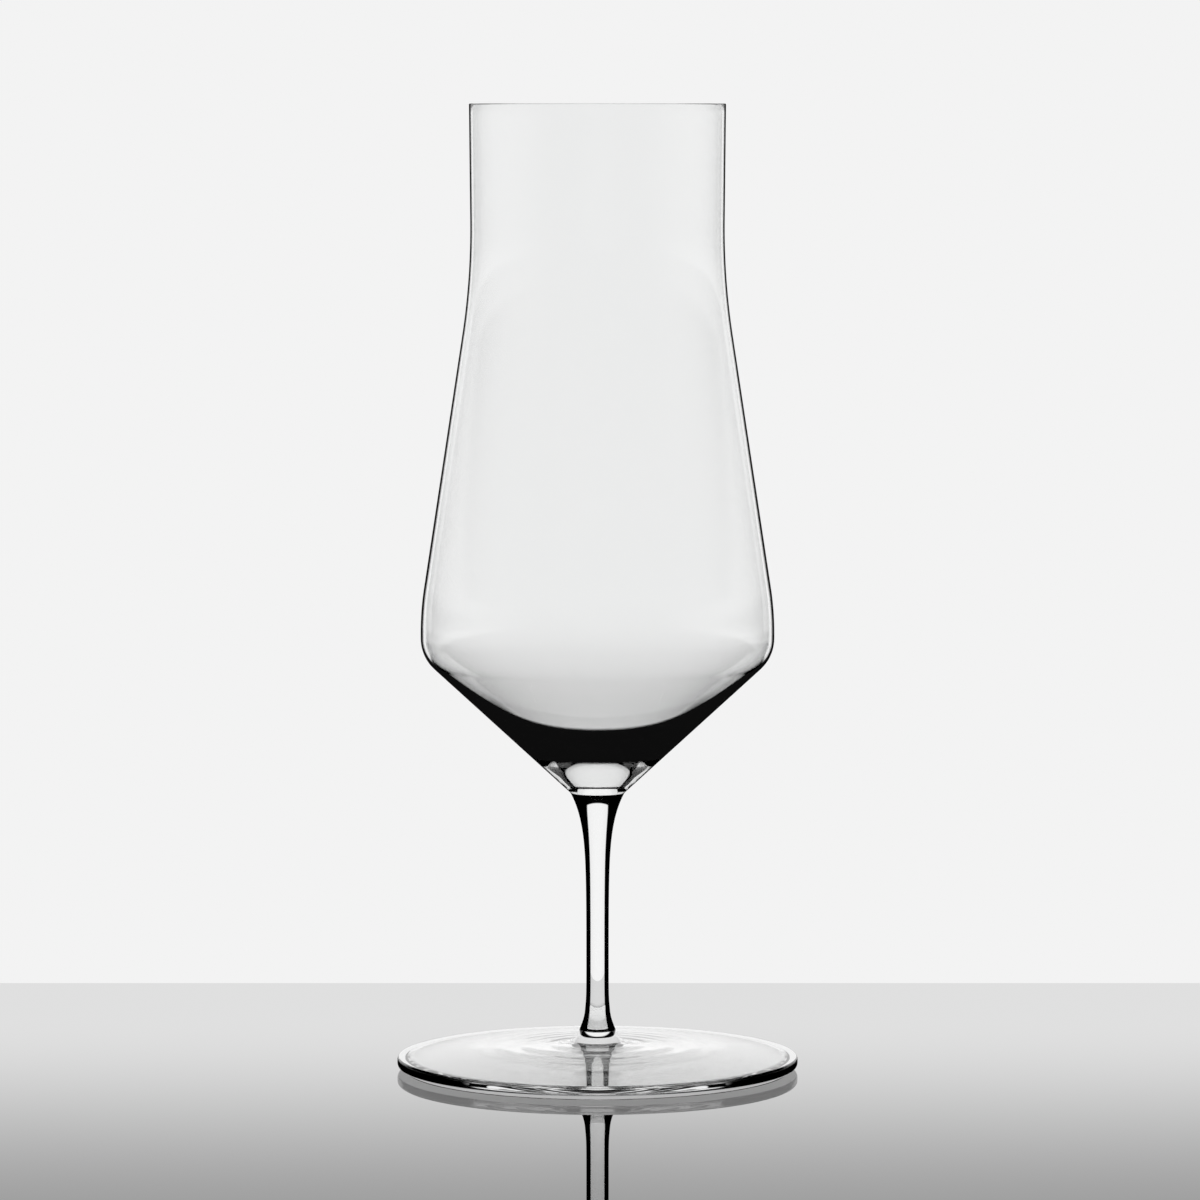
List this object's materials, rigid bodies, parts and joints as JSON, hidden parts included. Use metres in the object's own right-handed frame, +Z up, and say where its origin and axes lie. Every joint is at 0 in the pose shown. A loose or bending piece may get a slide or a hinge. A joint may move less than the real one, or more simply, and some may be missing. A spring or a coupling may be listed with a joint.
{
  "type": "stemmed spirits glass",
  "caption": "Clear stemmed glass for spirits: tall chimney mouth, tapered bowl with a low belly and conical base, slim drawn stem, wide round foot.",
  "frame": {"origin": "on the table, under the middle of the foot", "axes": "+Z up along the stem, from the foot to the rim"},
  "size_m": [0.0852, 0.0852, 0.205],
  "materials": {
    "bowl_glass": "clear, thin blown glass, fire polished",
    "stem_glass": "clear, solid drawn glass, fire polished",
    "foot_glass": "clear, solid spread glass with faint concentric ripples"
  },
  "bodies": {
    "root": {"bowl": "bowl_glass", "stem": "stem_glass", "foot": "foot_glass"}
  },
  "joints": []
}
